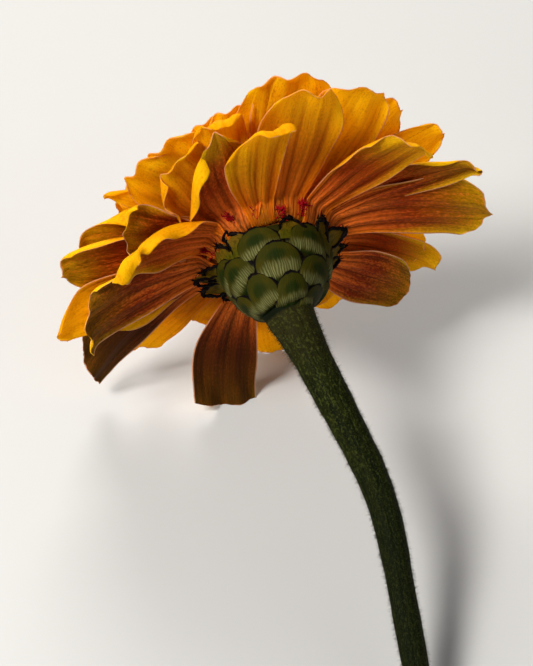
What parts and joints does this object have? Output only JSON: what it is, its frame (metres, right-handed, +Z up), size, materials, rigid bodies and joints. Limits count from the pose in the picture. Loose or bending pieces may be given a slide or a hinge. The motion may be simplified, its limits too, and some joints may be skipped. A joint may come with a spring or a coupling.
{
  "type": "cut zinnia flower",
  "caption": "Double zinnia bloom of layered, rolled ray petals on a cup of overlapping bracts, with a short hairy stem that curves down; it lies on its side.",
  "frame": {"origin": "centre of the bounding box at the surface that the flower lies on", "axes": "+Z up, +Y from the cut end of the stem towards the bloom's face"},
  "size_m": [0.0786, 0.1039, 0.0731],
  "materials": {
    "stem": "dark green plant stem under a coat of short pale hairs",
    "bracts": "olive green scales, pale and streaked at the foot, with a thin black margin",
    "ray_petals": "satin petals: golden yellow in front, amber to rusty orange behind with darker veins",
    "disc_florets": "small yellow florets among dark red fringes"
  },
  "bodies": {
    "root": {"stem": "stem", "involucre": "bracts", "ray_petals": "ray_petals", "disc_florets": "disc_florets"}
  },
  "joints": []
}
